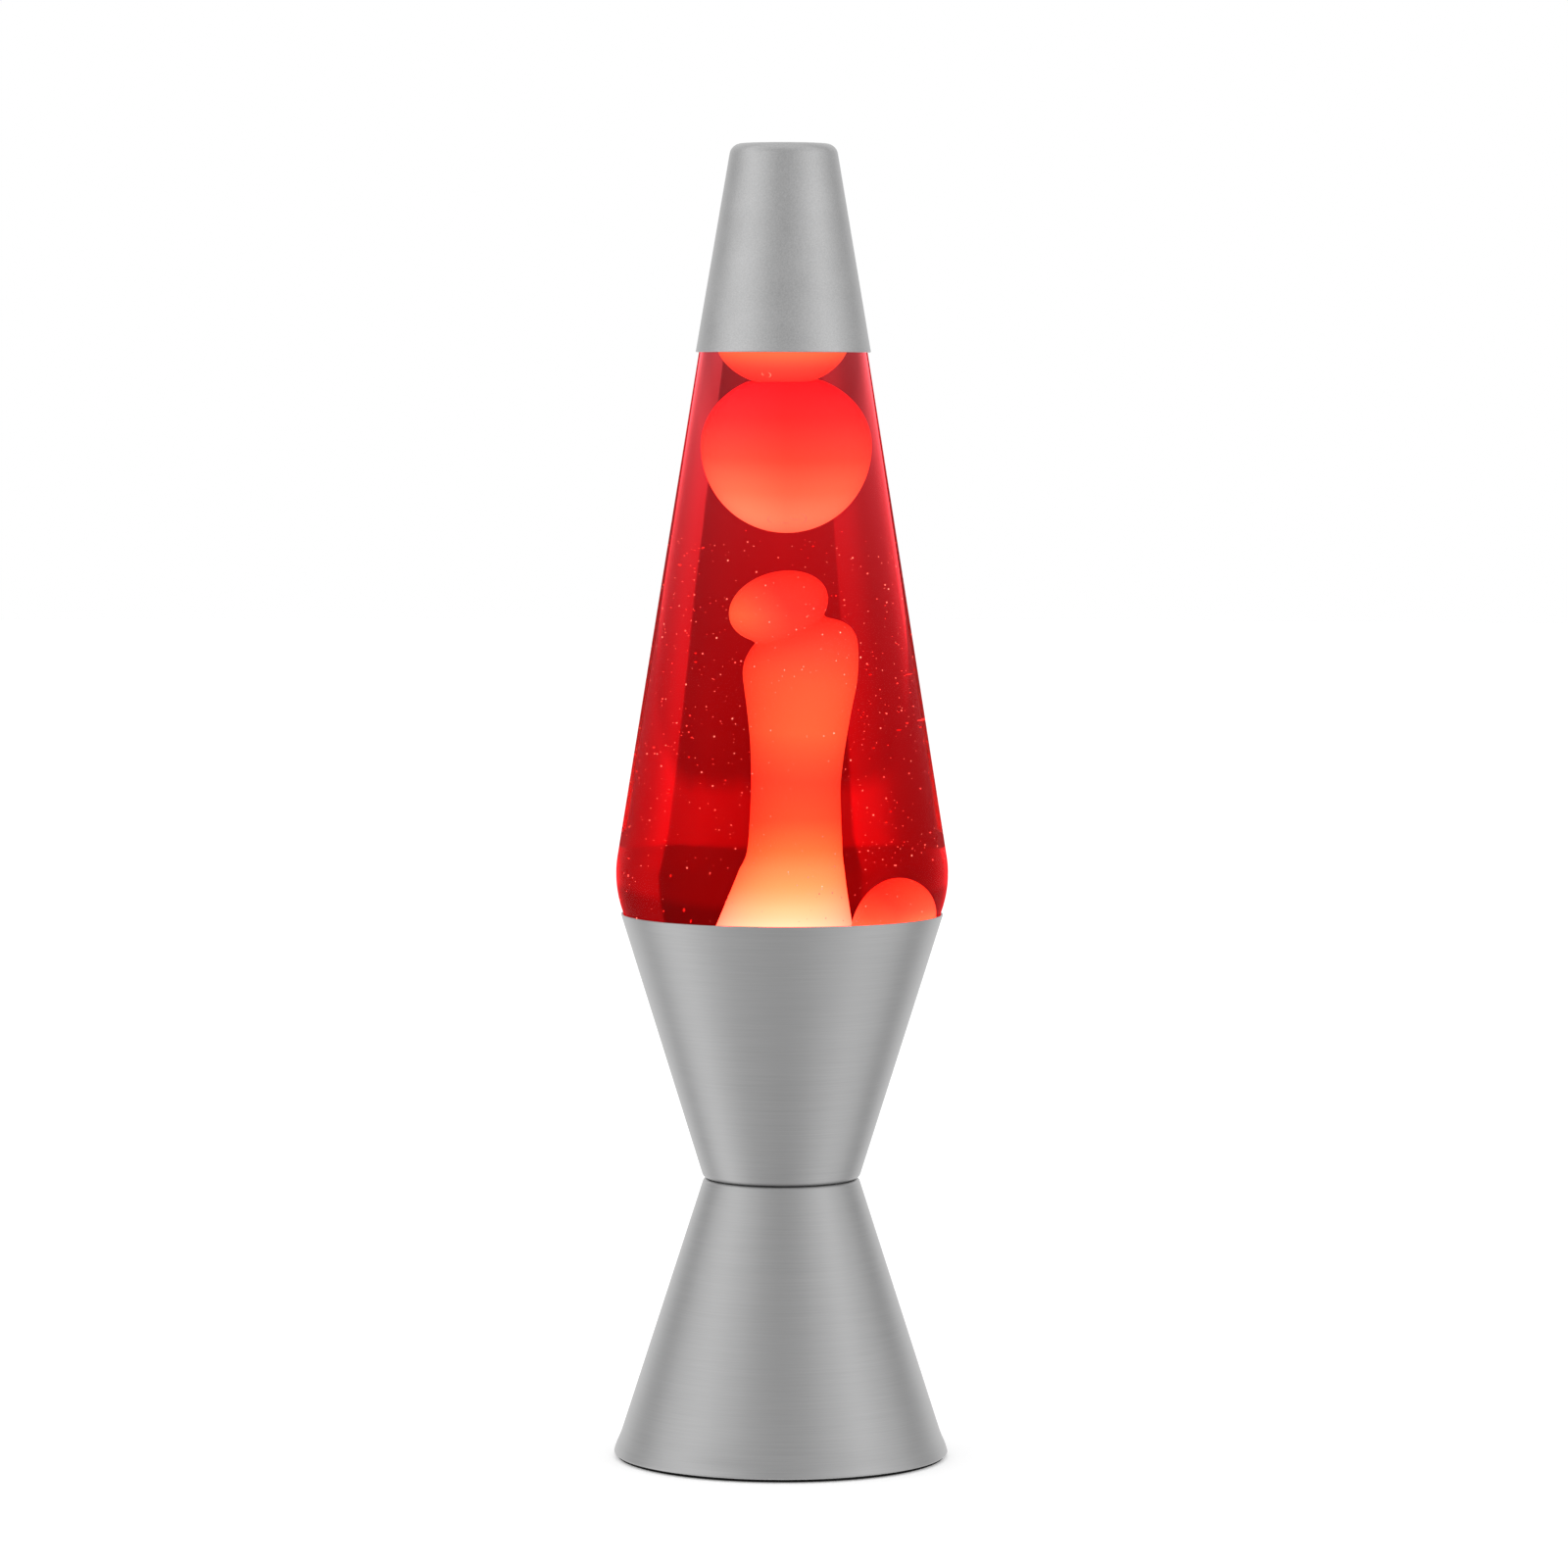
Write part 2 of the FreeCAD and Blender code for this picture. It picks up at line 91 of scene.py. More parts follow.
def new_object(name, verts, faces, sharp=35):
    me = bpy.data.meshes.new(name)
    me.from_pydata(verts, [], faces)
    me.validate()
    bm = bmesh.new()
    bm.from_mesh(me)
    bmesh.ops.recalc_face_normals(bm, faces=bm.faces)
    bm.to_mesh(me)
    bm.free()
    me.polygons.foreach_set("use_smooth", [True] * len(me.polygons))
    if sharp:
        me.set_sharp_from_angle(angle=math.radians(sharp))
    ob = bpy.data.objects.new(name, me)
    bpy.context.scene.collection.objects.link(ob)
    return ob


def lathe(name, profile, segs=256, closed=True, sharp=35):
    """Turns an (r, z) profile in mm about Z. Points with r = 0 become one vertex."""
    pts = profile[:]
    verts, rows = [], []
    for r, z in pts:
        if r < 1e-6:
            rows.append([len(verts)])
            verts.append((0, 0, z * MM))
        else:
            rows.append(list(range(len(verts), len(verts) + segs)))
            for k in range(segs):
                a = 2 * math.pi * k / segs
                verts.append((r * MM * math.cos(a), r * MM * math.sin(a), z * MM))
    faces = []
    pairs = list(zip(rows, rows[1:])) + ([(rows[-1], rows[0])] if closed else [])
    for A, B in pairs:
        if len(A) == 1 and len(B) == 1:
            continue
        for k in range(segs):
            j = (k + 1) % segs
            if len(A) == 1:
                faces.append((A[0], B[j], B[k]))
            elif len(B) == 1:
                faces.append((A[k], A[j], B[0]))
            else:
                faces.append((A[k], A[j], B[j], B[k]))
    return new_object(name, verts, faces, sharp)


def apply_mods(ob):
    dg = bpy.context.evaluated_depsgraph_get()
    me = bpy.data.meshes.new_from_object(ob.evaluated_get(dg))
    old = ob.data
    ob.modifiers.clear()
    ob.data = me
    me.name = ob.name
    bpy.data.meshes.remove(old)
    return ob


# ------------------------------------------------------------------ material helpers
class Mat:
    def __init__(self, name):
        self.m = bpy.data.materials.new(name)
        self.m.use_nodes = True
        self.t = self.m.node_tree
        self.t.nodes.clear()
        self.out = self.t.nodes.new("ShaderNodeOutputMaterial")
        self.p = self.t.nodes.new("ShaderNodeBsdfPrincipled")
        self.t.links.new(self.p.outputs[0], self.out.inputs["Surface"])
        self.tc = self.t.nodes.new("ShaderNodeTexCoord")

    def n(self, kind, **kw):
        node = self.t.nodes.new("ShaderNode" + kind)
        for k, v in kw.items():
            setattr(node, k, v)
        return node

    def link(self, a, b):
        self.t.links.new(a, b)

    def scaled(self, x, y, z):
        v = self.n("VectorMath", operation="MULTIPLY")
        self.link(self.tc.outputs["Object"], v.inputs[0])
        v.inputs[1].default_value = (x, y, z)
        return v.outputs[0]

    def noise(self, vec, scale=1.0, detail=2.0, rough=0.5, dist=0.0):
        nd = self.n("TexNoise")
        self.link(vec, nd.inputs["Vector"])
        nd.inputs["Scale"].default_value = scale
        nd.inputs["Detail"].default_value = detail
        nd.inputs["Roughness"].default_value = rough
        nd.inputs["Distortion"].default_value = dist
        return nd.outputs["Fac"]

    def map(self, val, a, b, c, d):
        r = self.n("MapRange")
        self.link(val, r.inputs["Value"])
        for k, x in zip(("From Min", "From Max", "To Min", "To Max"), (a, b, c, d)):
            r.inputs[k].default_value = x
        return r.outputs["Result"]

    def math(self, op, a, b=None):
        nd = self.n("Math", operation=op)
        for i, x in enumerate((a, b)):
            if x is None:
                continue
            if isinstance(x, (int, float)):
                nd.inputs[i].default_value = x
            else:
                self.link(x, nd.inputs[i])
        return nd.outputs[0]

    def mix(self, fac, a, b, blend="MIX"):
        nd = self.n("Mix", data_type="RGBA", blend_type=blend)
        for sock, x in ((nd.inputs[0], fac), (nd.inputs[6], a), (nd.inputs[7], b)):
            if isinstance(x, (int, float)):
                sock.default_value = x
            elif isinstance(x, tuple):
                sock.default_value = (*x, 1.0) if len(x) == 3 else x
            else:
                self.link(x, sock)
        return nd.outputs[2]

    def ramp(self, val, stops):
        nd = self.n("ValToRGB")
        cr = nd.color_ramp
        cr.interpolation = "LINEAR"
        while len(cr.elements) < len(stops):
            cr.elements.new(0.5)
        for e, (pos, col) in zip(cr.elements, stops):
            e.position = pos
            e.color = (*col, 1.0)
        self.link(val, nd.inputs["Fac"])
        return nd.outputs["Color"]

    def bump(self, height, strength, distance):
        b = self.n("Bump")
        b.inputs["Strength"].default_value = strength
        b.inputs["Distance"].default_value = distance
        self.link(height, b.inputs["Height"])
        self.link(b.outputs[0], self.p.inputs["Normal"])

    def set(self, **kw):
        for k, v in kw.items():
            self.p.inputs[k.replace("_", " ")].default_value = (*v, 1.0) if isinstance(v, tuple) and len(v) == 3 else v


def spun_metal():
    """Aluminium brushed on the lathe: hair-fine rings with faint broader bands."""
    k = Mat("spun_aluminium_brushed")
    fine = k.noise(k.scaled(55, 55, 5200), 1.0, 3.0, 0.6)
    mid = k.noise(k.scaled(26, 26, 1500), 1.0, 2.0, 0.5)
    broad = k.noise(k.scaled(8, 8, 160), 1.0, 2.0, 0.5)
    tone = k.math("ADD", k.math("MULTIPLY", fine, 0.68), k.math("ADD", k.math("MULTIPLY", mid, 0.24), k.math("MULTIPLY", broad, 0.08)))
    col = k.ramp(tone, [(0.3, (0.375, 0.375, 0.377)), (0.5, (0.405, 0.405, 0.407)), (0.7, (0.435, 0.435, 0.437))])
    k.link(col, k.p.inputs["Base Color"])
    k.link(k.map(tone, 0.3, 0.7, 0.34, 0.42), k.p.inputs["Roughness"])
    k.set(Metallic=1.0, Anisotropic=0.6)
    k.p.inputs["Anisotropic Rotation"].default_value = 0.25
    tg = k.n("Tangent", direction_type="RADIAL", axis="Z")
    k.link(tg.outputs[0], k.p.inputs["Tangent"])
    k.bump(tone, 0.12, 0.00004)
    return k.m


def cap_metal():
    """Satin silver paint with a fine metallic grain."""
    k = Mat("cap_satin_silver")
    grain = k.noise(k.scaled(1, 1, 1), 2600.0, 2.0, 0.7)
    soft = k.noise(k.scaled(1, 1, 1), 90.0, 2.0, 0.5)
    tone = k.math("ADD", k.math("MULTIPLY", grain, 0.75), k.math("MULTIPLY", soft, 0.25))
    col = k.ramp(tone, [(0.28, (0.38, 0.38, 0.382)), (0.5, (0.455, 0.455, 0.457)), (0.72, (0.535, 0.535, 0.537))])
    k.link(col, k.p.inputs["Base Color"])
    k.link(k.map(tone, 0.3, 0.7, 0.36, 0.44), k.p.inputs["Roughness"])
    k.set(Metallic=1.0)
    k.bump(grain, 0.1, 0.00003)
    return k.m


def wax_painted_glow(name, stops, down=1.35, up=0.65, sides=0.0, fade=None, left=None):
    """Molten wax with painted light from below, given as emission. stops are (z in mm, light); under-sides are painted
    brighter than tops, sides paints a lighter left flank, and fade paints shade away from the axis.
    """
    k = Mat(name)
    zs = [z for z, _ in stops]
    top = max(max(c) for _, c in stops)
    sep = k.n("SeparateXYZ")
    k.link(k.tc.outputs["Object"], sep.inputs[0])
    geo = k.n("NewGeometry")
    sn = k.n("SeparateXYZ")
    k.link(geo.outputs["Normal"], sn.inputs[0])
    h = k.map(sep.outputs["Z"], zs[0] * MM, zs[-1] * MM, 0.0, 1.0)
    if left:      # (z from, z to, gain): painted light, above these heights the left side is painted as bright as wax lower down
        shift = k.math("MULTIPLY", k.math("MINIMUM", k.math("SUBTRACT", sep.outputs["X"], left[3]), 0.0), left[2] / ((zs[-1] - zs[0]) * MM))
        h = k.math("ADD", h, k.math("MULTIPLY", shift, k.map(sep.outputs["Z"], left[0] * MM, left[1] * MM, 0.0, 1.0)))
    wob = k.noise(k.scaled(1, 1, 1), 45.0, 1.0, 0.4)
    h = k.math("ADD", h, k.math("MULTIPLY", k.math("SUBTRACT", wob, 0.5), 0.04))
    # the ramp holds square roots, so that its 0 to 1 range covers strong light with fine steps
    col = k.ramp(h, [((z - zs[0]) / (zs[-1] - zs[0]), tuple((v / top) ** 0.5 for v in c)) for z, c in stops])
    lit = k.mix(1.0, col, col, "MULTIPLY")
    # painted light from below: faces turned down are painted brighter, faces turned up darker
    tilt = k.map(sn.outputs["Z"], -1.0, 1.0, down, up)
    if sides:
        # painted light from the side: the left (-X) flank is painted brighter, both flanks a little
        left_flank_painted_light = k.math("MULTIPLY", k.math("MAXIMUM", k.math("MULTIPLY", sn.outputs["X"], -1.0), 0.0), sides * 1.6)
        tilt = k.math("MULTIPLY", tilt, k.math("ADD", k.math("ADD", 1.0, left_flank_painted_light), k.math("MULTIPLY", k.math("MULTIPLY", sn.outputs["X"], sn.outputs["X"]), sides)))
    lit = k.mix(1.0, lit, tilt, "MULTIPLY")
    # painted shade: darker away from the axis
    if fade:
        flat = k.n("VectorMath", operation="MULTIPLY")
        k.link(k.tc.outputs["Object"], flat.inputs[0])
        flat.inputs[1].default_value = (1, 1, 0)
        ln = k.n("VectorMath", operation="LENGTH")
        k.link(flat.outputs[0], ln.inputs[0])
        f = k.map(ln.outputs["Value"], fade[0] * MM, fade[-2] * MM, 0.0, 1.0)
        lit = k.mix(1.0, lit, k.ramp(f, fade[-1]), "MULTIPLY")
    # the painted light and shade are emitted, not lit
    k.link(lit, k.p.inputs["Emission Color"])
    k.set(Base_Color=(0.30, 0.03, 0.015), Roughness=0.4, Emission_Strength=top)
    k.p.inputs["Specular IOR Level"].default_value = 0.1
    return k.m


def clear_glass():
    """Bottle glass: bends light, and mirrors a little of the room, a little more at a glance."""
    k = Mat("globe_glass_clear")
    k.t.nodes.remove(k.p)
    rf = k.n("BsdfRefraction")
    rf.inputs["Color"].default_value = (1, 1, 1, 1)
    rf.inputs["Roughness"].default_value = 0.0
    rf.inputs["IOR"].default_value = 1.36
    gl = k.n("BsdfGlossy")
    gl.inputs["Color"].default_value = (1, 1, 1, 1)
    gl.inputs["Roughness"].default_value = 0.04
    fr = k.n("Fresnel")
    fr.inputs["IOR"].default_value = 1.36
    share = k.math("MINIMUM", k.math("MULTIPLY", fr.outputs[0], 0.06), 0.015)
    inside = k.math("GREATER_THAN", fr.outputs[0], 0.98)      # light trapped in the wall leaks out softly
    k.link(k.map(inside, 0.0, 1.0, 0.04, 0.65), gl.inputs["Roughness"])
    share = k.math("MAXIMUM", share, inside)
    mx = k.n("MixShader")
    k.link(share, mx.inputs[0])
    k.link(rf.outputs[0], mx.inputs[1])
    k.link(gl.outputs[0], mx.inputs[2])
    b = k.n("Bump")
    b.inputs["Strength"].default_value = 0.02
    b.inputs["Distance"].default_value = 0.0005
    k.link(k.noise(k.scaled(1, 1, 1), 60.0, 2.0, 0.5), b.inputs["Height"])
    k.link(b.outputs[0], rf.inputs["Normal"])
    k.link(b.outputs[0], gl.inputs["Normal"])
    k.link(mx.outputs[0], k.out.inputs["Surface"])
    return k.m


def red_liquid():
    k = Mat("liquid_red")
    k.set(Base_Color=(1.0, 1.0, 1.0), Roughness=0.0, IOR=1.0)
    k.p.inputs["Transmission Weight"].default_value = 1.0
    k.p.inputs["Specular IOR Level"].default_value = 0.0
    v = k.n("VolumeAbsorption")
    v.inputs["Color"].default_value = (0.85, 0.10, 0.16, 1.0)
    v.inputs["Density"].default_value = 100.0
    k.link(v.outputs[0], k.out.inputs["Volume"])
    return k.m


def moulded(name, base, rough, grain=900.0, bump=0.25, spec=0.5):
    k = Mat(name)
    g = k.noise(k.scaled(1, 1, 1), grain, 3.0, 0.6)
    s = k.noise(k.scaled(1, 1, 1), 60.0, 2.0, 0.5)
    lo = tuple(c * 0.75 for c in base)
    hi = tuple(min(1, c * 1.25 + 0.004) for c in base)
    k.link(k.mix(k.map(s, 0.3, 0.7, 0.0, 1.0), lo, hi), k.p.inputs["Base Color"])
    k.link(k.map(g, 0.3, 0.7, rough - 0.07, rough + 0.08), k.p.inputs["Roughness"])
    k.p.inputs["Specular IOR Level"].default_value = spec
    k.bump(g, bump, 0.00008)
    return k.m


def plain_metal(name, base, rough, scale=400.0, aniso=0.0):
    k = Mat(name)
    g = k.noise(k.scaled(1, 1, 1), scale, 3.0, 0.6)
    s = k.noise(k.scaled(1, 1, 1), 120.0, 2.0, 0.5)
    lo = tuple(c * 0.86 for c in base)
    k.link(k.mix(k.map(s, 0.35, 0.65, 0.0, 1.0), lo, base), k.p.inputs["Base Color"])
    k.link(k.map(g, 0.3, 0.7, rough * 0.8, rough * 1.25), k.p.inputs["Roughness"])
    k.set(Metallic=1.0, Anisotropic=aniso)
    k.bump(g, 0.08, 0.00004)
    return k.m


# ------------------------------------------------------------------ sizes shared with the CAD
Z_SEAM, Z_RIM, SKIN = 78.5, 153.1, 0.55
UP_R_RIM, UP_SLOPE = 45.18, 0.3131
LO_R_REF, LO_Z_REF, LO_SLOPE = 24.15, 71.2, 0.3215
R_THROAT, H_TOTAL = 13.2, 368.0


def up_r(z): return UP_R_RIM - UP_SLOPE * (Z_RIM - z)
def lo_r(z): return LO_R_REF + LO_SLOPE * (LO_Z_REF - z)
def glass_r(z): return 45.55 - 0.16066 * (z - 172.9)
def cap_r(z): return 15.78 + 0.17 * (361.09 - z)


METAL = spun_metal()

# upper cone
up_n = SKIN * math.hypot(1, UP_SLOPE)
zf = Z_SEAM + SKIN
prof = rounded([(R_THROAT, Z_SEAM), (up_r(Z_SEAM), Z_SEAM, 2.0), (UP_R_RIM, Z_RIM, 0.2), (UP_R_RIM - up_n, Z_RIM, 0.2),
                (up_r(zf) - up_n, zf, 1.45), (R_THROAT, zf)])
upper = lathe("upper_cone_spun", dense(prof + prof[:1], 6.0)[:-1])
upper.data.materials.append(METAL)
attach(upper, "base"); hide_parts("upper_cone")

# lower cone with its flared, rolled foot and the hole for the bushing
lo_n = SKIN * math.hypot(1, LO_SLOPE)
zp = Z_SEAM - SKIN
foot = catmull([(44.89, 6.73), (45.58, 5.06), (46.08, 3.94), (46.51, 2.83), (46.86, 1.71), (46.95, 1.4)], 5)
foot_in = catmull([(46.0, 1.4), (46.22, 2.05), (45.93, 2.75), (45.53, 3.78), (45.03, 4.92), (lo_r(6.56) - lo_n, 6.56)], 4)
top = rounded([(R_THROAT, zp), (R_THROAT, Z_SEAM), (lo_r(Z_SEAM), Z_SEAM, 1.2), (44.89, 6.73)])
low = [(46.93, 1.15), (46.80, 0.97), (46.60, 0.85), (46.35, 0.80), (43.6, 0.8), (43.6, 1.4)]
inn = rounded([(44.0, 6.5), (lo_r(zp) - lo_n, zp, 0.65), (R_THROAT, zp)])[1:-1]
prof = top + foot[1:] + low + foot_in + inn
lower = lathe("lower_cone_spun", dense(prof + prof[:1], 6.0)[:-1])
tilt = math.atan(LO_SLOPE)
n_cord = Vector((0, math.cos(tilt), math.sin(tilt)))
p_cord = Vector((0, lo_r(16.0), 16.0)) * MM
cut_me = bpy.data.meshes.new("cutter")
bm = bmesh.new()
bmesh.ops.create_cone(bm, cap_ends=True, segments=64, radius1=5.1 * MM, radius2=5.1 * MM, depth=8 * MM)
bm.to_mesh(cut_me); bm.free()
cutter = bpy.data.objects.new("cutter", cut_me)
bpy.context.scene.collection.objects.link(cutter)
cutter.matrix_world = Matrix.Translation(p_cord) @ n_cord.to_track_quat("Z", "Y").to_matrix().to_4x4()
bpy.context.view_layer.update()
md = lower.modifiers.new("hole", "BOOLEAN")
md.operation, md.solver, md.object = "DIFFERENCE", "EXACT", cutter
apply_mods(lower)
bpy.data.objects.remove(cutter)
lower.data.polygons.foreach_set("use_smooth", [True] * len(lower.data.polygons))
lower.data.set_sharp_from_angle(angle=math.radians(35))
lower.data.materials.clear()
lower.data.materials.append(METAL)
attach(lower, "base"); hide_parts("lower_cone")

# cap
cap_n = 0.6 * math.hypot(1, 0.17)
z_in = H_TOTAL - 0.7
prof = rounded([(0, H_TOTAL), (cap_r(H_TOTAL), H_TOTAL, 3.4), (cap_r(310), 310, 0.29), (cap_r(310) - cap_n, 310, 0.29),
                (cap_r(z_in) - cap_n, z_in, 2.8), (0, z_in)], 12)
cap = lathe("cap_spun", dense(prof, 6.0), closed=False)
cap.data.materials.append(cap_metal())
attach(cap, "cap"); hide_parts("cap_shell")


# globe: outer skin of the bottle, one block of clear glass and liquid index
def globe_line(inset, z_low, corner, z_high, neck, z_top, n_arc=28):
    zm, rm = 164.5, 46.52
    beta = math.atan(0.16066)
    Ru, Rl = 29.6, 32.0
    pts = []
    b0 = (rm - Rl + (Rl - inset) * math.cos(math.radians(24.5)), zm - (Rl - inset) * math.sin(math.radians(24.5)))
    r_low = b0[0] - 0.33 * (b0[1] - z_low)
    pts += rounded([(0, z_low), (r_low, z_low, corner), b0, (0, b0[1])], 10)[:-2]
    for k in range(n_arc + 1):
        a = math.radians(-24.5) * (1 - k / n_arc)
        pts.append((rm - Rl + (Rl - inset) * math.cos(a), zm + (Rl - inset) * math.sin(a)))
    for k in range(1, 13):
        a = beta * k / 12
        pts.append((rm - Ru + (Ru - inset) * math.cos(a), zm + (Ru - inset) * math.sin(a)))
    nl = inset * math.hypot(1, 0.16066)
    sh = rounded([(glass_r(z_high) - nl, z_high), (neck + 1.2, z_high + 11.5, 5.5 - inset * 0.6), (neck, z_high + 14.0, 2.0),
                  (neck, z_top), (0, z_top), (0, z_high)], 10)
    pts += sh[:-3]
    return pts


outer = globe_line(0, 128.0, 7.0, 322.0, 12.7, 338.3)
outer += rounded([(12.7, 338.3), (13.3, 338.6, 0.6), (13.3, 341.4, 1.2), (12.0, 342.0), (10.2, 342.0)], 5)[1:]
outer += [(0, 342.0)]
globe = lathe("globe_bottle", dense(outer, 5.0), segs=320, closed=False)
globe.data.materials.append(clear_glass())
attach(globe, "globe"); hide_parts("globe_glass")

inner = globe_line(2.0, 131.0, 5.0, 322.0, 10.2, 342.0)
inner = [p for p in inner if p[1] < 329.0]
# close at the liquid's level
r_level = inner[-1][0]
inner += [(r_level - 0.15, 329.0), (0, 329.0)]
liquid = lathe("liquid_fill", dense(inner, 5.0), segs=256, closed=False)
liquid.data.materials.append(red_liquid())
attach(liquid, "globe"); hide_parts("liquid")


# ------------------------------------------------------------------ wax
def ovoid_mesh(name, c, rx, ry, down, up, tilt=0.0, segs=96, rings=64, power=1.0, shear=0.0):
    verts, faces = [], []
    for i in range(rings + 1):
        t = math.pi * i / rings
        hz = -math.cos(t)
        rr = math.sin(t) ** power
        z = hz * (down if hz < 0 else up)
        for k in range(segs):
            a = 2 * math.pi * k / segs
            x, y = rr * rx * math.cos(a), rr * ry * math.sin(a)
            xx = x * math.cos(tilt) + z * math.sin(tilt)
            zz = -x * math.sin(tilt) + z * math.cos(tilt) + shear * x
            verts.append(((c[0] + xx) * MM, (c[1] + y) * MM, (c[2] + zz) * MM))
    for i in range(rings):
        for k in range(segs):
            j = (k + 1) % segs
            faces.append((i * segs + k, i * segs + j, (i + 1) * segs + j, (i + 1) * segs + k))
    ob = new_object(name, verts, faces, None)
    bm = bmesh.new(); bm.from_mesh(ob.data)
    bmesh.ops.remove_doubles(bm, verts=bm.verts, dist=1e-6)
    bmesh.ops.recalc_face_normals(bm, faces=bm.faces)
    bm.to_mesh(ob.data); bm.free()
    return ob


COLUMN = [(131.1, 0.0, 33.5), (136.0, 0.0, 36.5), (140.0, 0.0, 37.0), (141.6, -0.1, 31.5), (143.6, -0.3, 24.5), (146.4, -0.35, 19.4), (149.8, -0.3, 16.2),
          (154.2, 0.35, 14.1), (161.1, 1.45, 11.7), (166.7, 2.4, 10.1), (171.5, 2.7, 9.6), (182.3, 2.8, 9.3),
          (189.1, 2.85, 9.3), (199.7, 3.25, 10.0), (208.9, 3.5, 11.0), (216.9, 3.7, 12.0), (223.4, 3.72, 12.2),
          (228.4, 3.8, 11.5), (232.1, 4.0, 9.2), (234.5, 4.1, 6.0), (235.6, 4.1, 2.5), (235.8, 4.1, 0.05)]


def column_mesh(name):
    line = catmull(COLUMN, 8)
    segs, verts, faces = 96, [], []
    for z, x, r in line:
        r = max(r, 0.02)
        for k in range(segs):
            a = 2 * math.pi * k / segs
            w = 1 + 0.02 * math.sin(2 * a + z * 0.05) * (1 if 150 < z < 230 else 0)
            px = r * w * math.cos(a)
            lean = min(1.0, max(0.0, (z - 214) / 15))
            lean *= lean * (3 - 2 * lean)      # the top leans: higher on the right, lower on the left
            verts.append(((x + px) * MM, r * w * math.sin(a) * MM, (z + lean * (0.27 * px - 1.4)) * MM))
    for i in range(len(line) - 1):
        for k in range(segs):
            j = (k + 1) % segs
            faces.append((i * segs + k, i * segs + j, (i + 1) * segs + j, (i + 1) * segs + k))
    faces.append(tuple(range(segs))[::-1])
    faces.append(tuple(range((len(line) - 1) * segs, len(line) * segs)))
    return new_object(name, verts, faces, None)


wax_main = column_mesh("wax_column_glow")
lump = ovoid_mesh("lump", (-0.9, -3.0, 238.2), 10.6, 10.6, 9.9, 9.9, shear=0.2)
mound = ovoid_mesh("wax_mound_glow", (24.8, 0, 152.3), 10.7, 10.7, 14.0, 10.95)
bm = bmesh.new()
for o in (wax_main, lump):
    bm.from_mesh(o.data)
bm.to_mesh(wax_main.data)
bm.free()
bpy.data.objects.remove(lump)
rm = wax_main.modifiers.new("join", "REMESH")
rm.mode, rm.voxel_size, rm.use_smooth_shade = "VOXEL", 0.00065, True
sm = wax_main.modifiers.new("soft", "SMOOTH")
sm.factor, sm.iterations = 0.5, 10
apply_mods(wax_main)

blob = ovoid_mesh("wax_top_blob_glow", (-0.2, 0, 313.2), 13.9, 13.9, 13.6, 13.4)
ball = ovoid_mesh("wax_ball_glow", (0.7, 0, 282.5), 17.6, 17.6, 23.9, 20.6)
for v in ball.data.vertices:      # the ball's top is pressed in by the blob above it
    c = Vector((-0.0002, 0, 0.3132))
    d = v.co - c
    if d.z < 0:
        q = (math.hypot(d.x, d.y) / 0.0143) ** 2 + (d.z / 0.0140) ** 2
        if q < 1:
            rest = max(0.0, 1 - (math.hypot(d.x, d.y) / 0.0143) ** 2)
            v.co.z = 0.3132 - 0.0140 * math.sqrt(rest)

# tiny specks drifting in the liquid, kept clear of the wax and of the glass; their glow is painted light (emission)
rng = random.Random(41)
ico = bmesh.new()
bmesh.ops.create_icosphere(ico, subdivisions=1, radius=1.0)
unit = [v.co.copy() for v in ico.verts]
tris = [[v.index for v in f.verts] for f in ico.faces]
ico.free()
sv, sf = [], []
while len(sv) < 900 * len(unit):
    z = rng.uniform(150, 258)
    lim = (glass_r(z) if z > 170 else 45.5) - 3.2
    a, r = rng.uniform(0, 2 * math.pi), lim * math.sqrt(rng.uniform(0.3, 1.0))
    x, y = r * math.cos(a), r * math.sin(a)
    if (x - 2.5) ** 2 + y * y < (16.5 if z < 240 else 20.0) ** 2 or (x - 25) ** 2 + y * y < 144 and z < 166:
        continue
    rad = rng.choice((0.08, 0.09, 0.10, 0.11, 0.13, 0.2))
    base = len(sv)
    sv += [((x + u.x * rad) * MM, (y + u.y * rad) * MM, (z + u.z * rad * 1.1) * MM) for u in unit]
    sf += [[base + i for i in t] for t in tris]
specks = new_object("liquid_specks", sv, sf, None)
sk = Mat("wax_specks_painted_glow")
skn = sk.noise(sk.scaled(1, 1, 1), 160.0, 1.0)
sk.link(sk.mix(sk.map(skn, 0.3, 0.7, 0, 1), (1.0, 0.20, 0.13), (1.0, 0.36, 0.26)), sk.p.inputs["Emission Color"])
# painted glow: the specks emit light as if lit by the lamp
sk.set(Base_Color=(0.6, 0.2, 0.12), Roughness=0.5, Emission_Strength=3.0)
specks.data.materials.append(sk.m)
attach(specks, "globe"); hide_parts("liquid")

